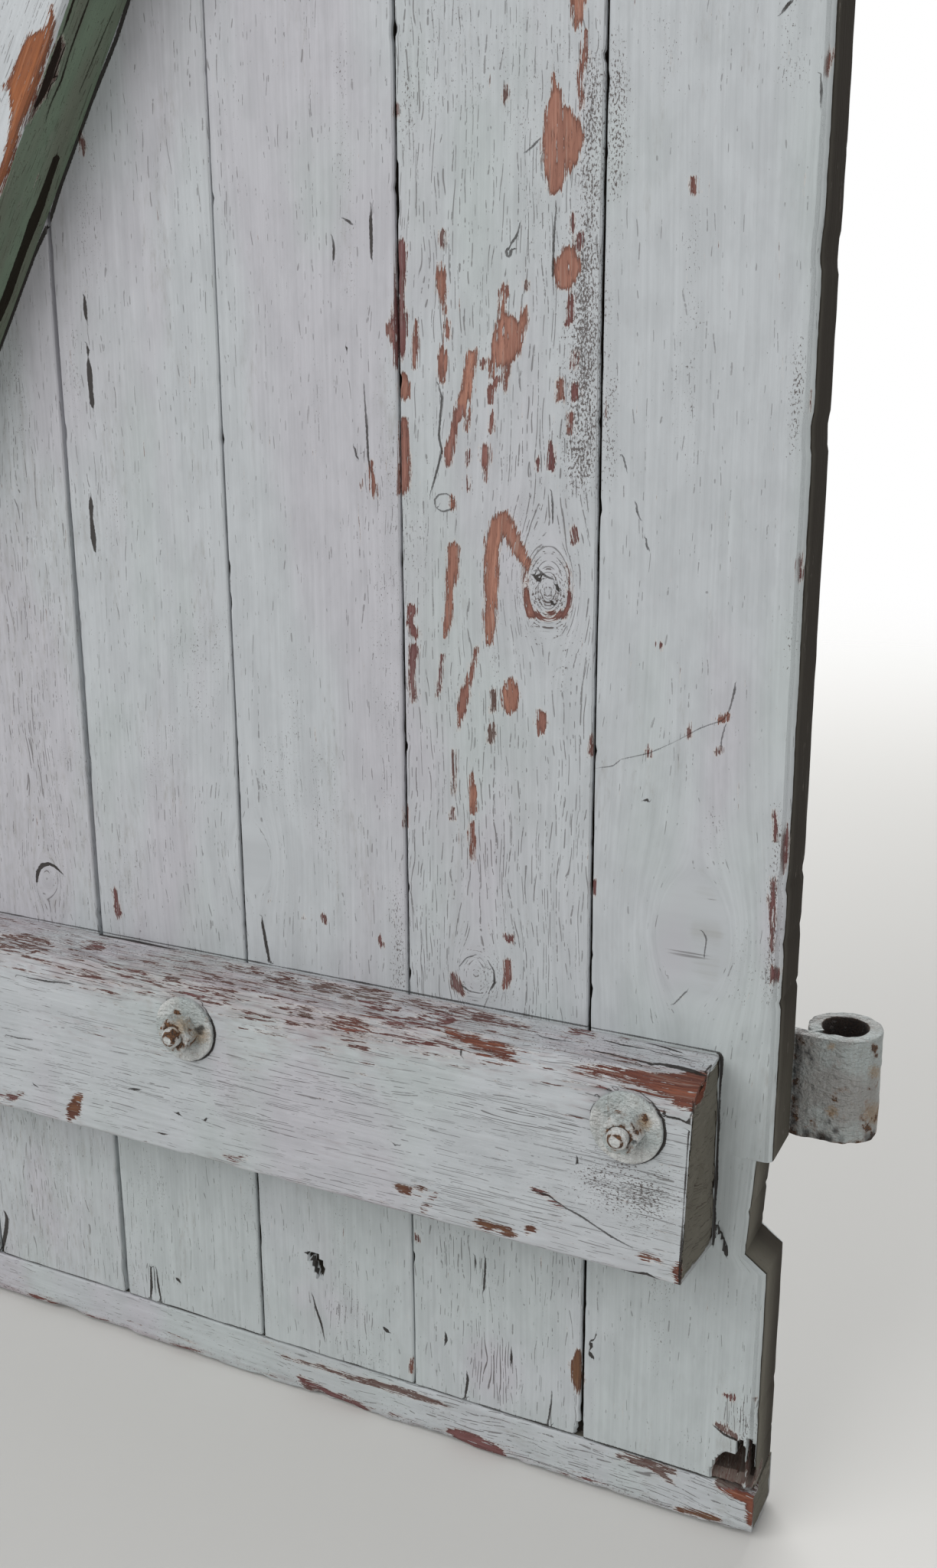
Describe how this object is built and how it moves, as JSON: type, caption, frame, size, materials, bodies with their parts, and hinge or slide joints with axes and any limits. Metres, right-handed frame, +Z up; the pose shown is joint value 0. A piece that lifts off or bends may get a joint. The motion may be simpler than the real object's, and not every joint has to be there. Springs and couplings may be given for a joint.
{
  "type": "board shutter leaf",
  "caption": "Old ledged and braced shutter leaf of tongued boards, with bolted strap hinges whose rolled eyes drop onto wall pintles.",
  "frame": {"origin": "on the axis of the lower hinge eye, halfway up the eye", "axes": "+X across the leaf towards the hinge side, +Y from the ledge side to the strap side, +Z up"},
  "size_m": [0.6267, 0.0984, 1.13],
  "materials": {
    "painted_boards": "old pale grey-white paint, cracked along the grain, with bare red-brown patches",
    "painted_rails": "old pale paint, worn to bare wood along the arrises",
    "painted_ledges": "old pale paint, peeled to grey-brown wood along the top",
    "painted_brace": "old pale paint over green, chipped to orange-brown wood",
    "painted_straps": "thick lumpy old paint over forged iron, rust showing at the edges",
    "painted_fasteners": "old paint over steel, with rust at the nuts",
    "nail_iron": "painted-over cut nail heads, rusty at the rims"
  },
  "bodies": {
    "root": {"board_1": "painted_boards", "board_2": "painted_boards", "board_3": "painted_boards", "board_4": "painted_boards", "board_5": "painted_boards", "board_6": "painted_boards", "board_7": "painted_boards", "board_8": "painted_boards", "bottom_rail": "painted_rails", "top_rail": "painted_rails", "lower_ledge": "painted_ledges", "upper_ledge": "painted_ledges", "brace": "painted_brace", "lower_ledge_nails": "nail_iron", "upper_ledge_nails": "nail_iron", "brace_nails": "nail_iron", "lower_strap": "painted_straps", "lower_bolt_1": "painted_fasteners", "lower_washer_1": "painted_fasteners", "lower_nut_1": "painted_fasteners", "lower_bolt_2": "painted_fasteners", "lower_washer_2": "painted_fasteners", "lower_nut_2": "painted_fasteners", "lower_bolt_3": "painted_fasteners", "lower_washer_3": "painted_fasteners", "lower_nut_3": "painted_fasteners", "upper_strap": "painted_straps", "upper_bolt_1": "painted_fasteners", "upper_washer_1": "painted_fasteners", "upper_nut_1": "painted_fasteners", "upper_bolt_2": "painted_fasteners", "upper_washer_2": "painted_fasteners", "upper_nut_2": "painted_fasteners", "upper_bolt_3": "painted_fasteners", "upper_washer_3": "painted_fasteners", "upper_nut_3": "painted_fasteners"}
  },
  "joints": []
}
